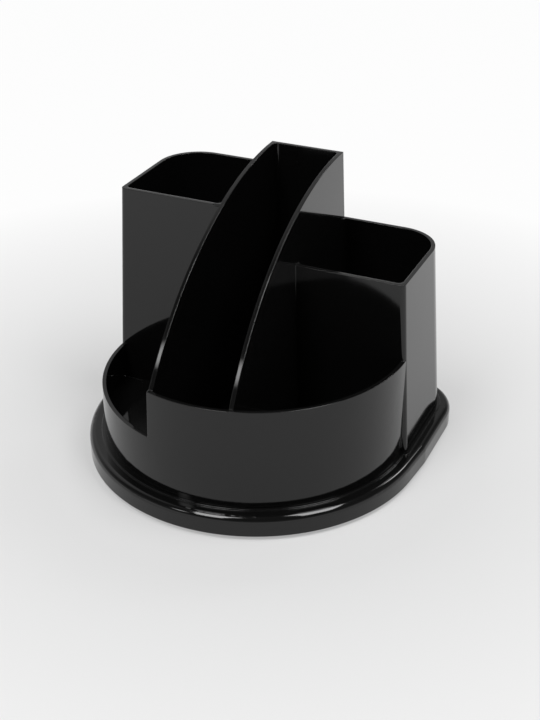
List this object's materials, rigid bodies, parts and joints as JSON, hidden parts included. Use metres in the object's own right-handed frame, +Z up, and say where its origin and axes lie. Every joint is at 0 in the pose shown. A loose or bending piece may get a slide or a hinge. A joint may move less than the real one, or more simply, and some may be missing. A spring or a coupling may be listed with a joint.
{
  "type": "rotating desk organizer with drawers",
  "caption": "Rotating desk organizer: a glossy black moulding with pen towers, open trays and an arched centre slot, with drawers in its back, that turns on a ball-bearing stand.",
  "frame": {"origin": "on the turning axis, at the level of the desk that the rubber feet stand on, under the middle of the plan", "axes": "+X to the right seen from the round front, +Y to the back where the drawers open, +Z up along the turning axis"},
  "size_m": [0.1592, 0.1474, 0.1268],
  "materials": {
    "gloss_black_polystyrene": "high-gloss black, injection moulded in a polished mould",
    "matte_black_polypropylene": "fine matte black, injection moulded",
    "natural_acetal": "natural white, satin",
    "polished_steel": "ground and polished bearing steel",
    "zinc_plated_steel": "bright zinc plate",
    "black_rubber": "matte black rubber"
  },
  "bodies": {
    "stand": {"turntable_disc": "matte_black_polypropylene", "foot_1": "black_rubber", "foot_2": "black_rubber", "foot_3": "black_rubber", "foot_4": "black_rubber"},
    "ball_ring": {"ball_cage": "natural_acetal", "bearing_balls": "polished_steel"},
    "organizer": {"body_shell": "gloss_black_polystyrene", "base_plate": "gloss_black_polystyrene", "body_screws": "zinc_plated_steel", "pivot_screw": "zinc_plated_steel", "pivot_washer": "zinc_plated_steel"},
    "left_drawer": {"left_drawer": "gloss_black_polystyrene"},
    "right_drawer": {"right_drawer": "gloss_black_polystyrene"}
  },
  "joints": [
    {"name": "turntable_spin", "type": "hinge", "parent": "stand", "child": "organizer", "pos_m": [0, 0, 0], "axis": [0, 0, 1], "continuous": true},
    {"name": "cage_roll", "type": "hinge", "parent": "stand", "child": "ball_ring", "pos_m": [0, 0, 0], "axis": [0, 0, 1], "continuous": true},
    {"name": "left_drawer_slide", "type": "slide", "parent": "organizer", "child": "left_drawer", "axis": [0, 1, 0], "range_m": [0, 0.04]},
    {"name": "right_drawer_slide", "type": "slide", "parent": "organizer", "child": "right_drawer", "axis": [0, 1, 0], "range_m": [0, 0.04]}
  ],
  "couplings": [
    {"joint": "cage_roll", "follows": "turntable_spin", "ratio": 0.5}
  ]
}
